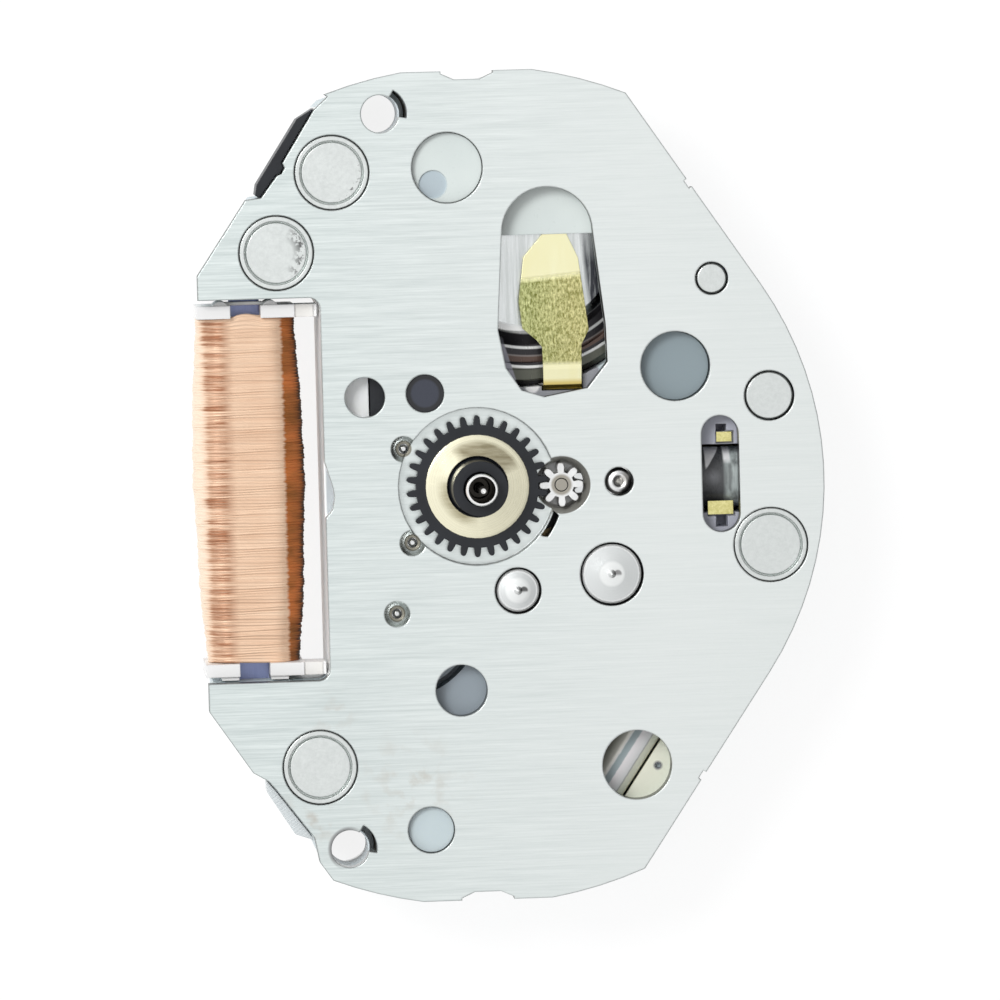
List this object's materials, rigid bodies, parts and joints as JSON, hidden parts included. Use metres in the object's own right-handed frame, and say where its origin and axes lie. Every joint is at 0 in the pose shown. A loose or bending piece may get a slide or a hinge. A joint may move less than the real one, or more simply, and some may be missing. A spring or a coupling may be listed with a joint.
{
  "type": "watch movement",
  "caption": "Slim three-hand quartz watch movement, dial side up, with brushed base plate, open side coil, battery, geared hand train and keyless works.",
  "frame": {"origin": "on the centre arbors, in the plane of the base plate that the dial rests on", "axes": "+Z out of the dial side along the arbors, +Y to 12 o'clock, +X to 3 o'clock and the stem"},
  "size_m": [0.0138, 0.018, 0.005],
  "materials": {
    "nickel_plate": "fine brushed nickel",
    "pale_plastic": "milky moulded plastic",
    "black_plastic": "satin black plastic",
    "board": "beige laminate",
    "battery_steel": "drawn steel",
    "seal": "moulded seal",
    "gilt_spring": "gilt spring strip",
    "steel": "polished steel",
    "soft_iron": "rolled soft iron",
    "white_plastic": "satin white plastic",
    "copper_wire": "enamelled copper wire",
    "magnet": "ground magnet",
    "brass": "turned brass",
    "pale_brass": "pale brass foil"
  },
  "bodies": {
    "movement": {"base_plate": "nickel_plate", "main_frame": "pale_plastic", "train_support": "black_plastic", "train_bridge": "nickel_plate", "circuit_cover": "nickel_plate", "circuit_board": "board", "battery_can": "battery_steel", "battery_cap": "battery_steel", "battery_gasket": "seal", "battery_insulator": "pale_plastic", "negative_contact": "gilt_spring", "positive_contact": "gilt_spring", "chip_cap": "black_plastic", "quartz_crystal": "steel", "switch_contacts": "gilt_spring", "stator": "soft_iron", "coil_core": "soft_iron", "coil_bobbin": "white_plastic", "coil_winding": "copper_wire", "coil_terminal": "board", "crystal_pad": "board", "dial_foot_sockets": "pale_plastic", "plate_pillars": "steel", "bridge_pillars": "steel", "lever_pins": "steel", "minute_post": "steel", "setting_stud": "steel", "window_plug": "black_plastic", "edge_spacer": "black_plastic", "edge_tab": "white_plastic", "cover_screws": "steel", "bridge_screws": "steel", "coil_screws": "steel"},
    "rotor": {"rotor_magnet": "magnet", "rotor_arbor": "steel"},
    "fifth": {"fifth_wheel": "brass", "fifth_pinion": "steel"},
    "seconds": {"seconds_wheel": "brass", "seconds_arbor": "steel"},
    "third": {"third_wheel": "brass", "third_pinion": "steel"},
    "centre": {"centre_wheel": "brass", "centre_tube": "steel"},
    "cannon": {"cannon_pinion": "steel"},
    "minute": {"minute_wheel": "brass", "minute_pinion": "steel"},
    "hour": {"hour_wheel": "black_plastic", "dial_washer": "pale_brass"},
    "setting": {"setting_wheel": "steel"},
    "clutch": {"clutch_wheel": "steel"},
    "yoke": {"yoke": "gilt_spring"},
    "setting_lever": {"setting_lever": "steel"},
    "stop_lever": {"stop_lever": "steel"}
  },
  "joints": [
    {"name": "rotor_spin", "type": "hinge", "parent": "movement", "child": "rotor", "pos_m": [-0.00182, -0.00273, 0], "axis": [0, 0, 1], "continuous": true},
    {"name": "fifth_spin", "type": "hinge", "parent": "movement", "child": "fifth", "pos_m": [-0.00144, -0.00119, 0], "axis": [0, 0, 1], "continuous": true},
    {"name": "seconds_spin", "type": "hinge", "parent": "movement", "child": "seconds", "pos_m": [0, 0, 0], "axis": [0, 0, 1], "continuous": true},
    {"name": "third_spin", "type": "hinge", "parent": "movement", "child": "third", "pos_m": [-0.00158, 0.00086, 0], "axis": [0, 0, 1], "continuous": true},
    {"name": "centre_spin", "type": "hinge", "parent": "movement", "child": "centre", "pos_m": [0, 0, 0], "axis": [0, 0, 1], "continuous": true},
    {"name": "cannon_spin", "type": "hinge", "parent": "movement", "child": "cannon", "pos_m": [0, 0, 0], "axis": [0, 0, 1], "continuous": true},
    {"name": "minute_spin", "type": "hinge", "parent": "movement", "child": "minute", "pos_m": [0.00184, -0.00002, 0], "axis": [0, 0, 1], "continuous": true},
    {"name": "hour_spin", "type": "hinge", "parent": "movement", "child": "hour", "pos_m": [0, 0, 0], "axis": [0, 0, 1], "continuous": true},
    {"name": "setting_spin", "type": "hinge", "parent": "movement", "child": "setting", "pos_m": [0.0031, 0.00002, 0], "axis": [0, 0, 1], "continuous": true},
    {"name": "clutch_slide", "type": "slide", "parent": "movement", "child": "clutch", "axis": [-1, 0, 0], "range_m": [0, 0.0003]},
    {"name": "yoke_swing", "type": "hinge", "parent": "movement", "child": "yoke", "pos_m": [0.00523, 0.00439, 0], "axis": [0, 0, 1], "range_deg": [-3.92, 0]},
    {"name": "setting_lever_swing", "type": "hinge", "parent": "movement", "child": "setting_lever", "pos_m": [0.00643, 0.0018, 0], "axis": [0, 0, 1], "range_deg": [0, 12.74]},
    {"name": "stop_lever_swing", "type": "hinge", "parent": "movement", "child": "stop_lever", "pos_m": [0.00639, -0.00146, 0], "axis": [0, 0, 1], "range_deg": [-5.11, 0]}
  ],
  "couplings": [
    {"joint": "fifth_spin", "follows": "rotor_spin", "ratio": -0.16667},
    {"joint": "seconds_spin", "follows": "rotor_spin", "ratio": 0.033333},
    {"joint": "third_spin", "follows": "rotor_spin", "ratio": -0.0044444},
    {"joint": "centre_spin", "follows": "rotor_spin", "ratio": 0.00055556},
    {"joint": "cannon_spin", "follows": "rotor_spin", "ratio": 0.00055556},
    {"joint": "minute_spin", "follows": "rotor_spin", "ratio": -0.00017361},
    {"joint": "hour_spin", "follows": "rotor_spin", "ratio": 0.000046296},
    {"joint": "setting_spin", "follows": "rotor_spin", "ratio": 0.00007716},
    {"joint": "yoke_swing", "follows": "clutch_slide", "rad_per_m": -227.67},
    {"joint": "setting_lever_swing", "follows": "clutch_slide", "rad_per_m": 740.67},
    {"joint": "stop_lever_swing", "follows": "clutch_slide", "rad_per_m": -296.67}
  ]
}
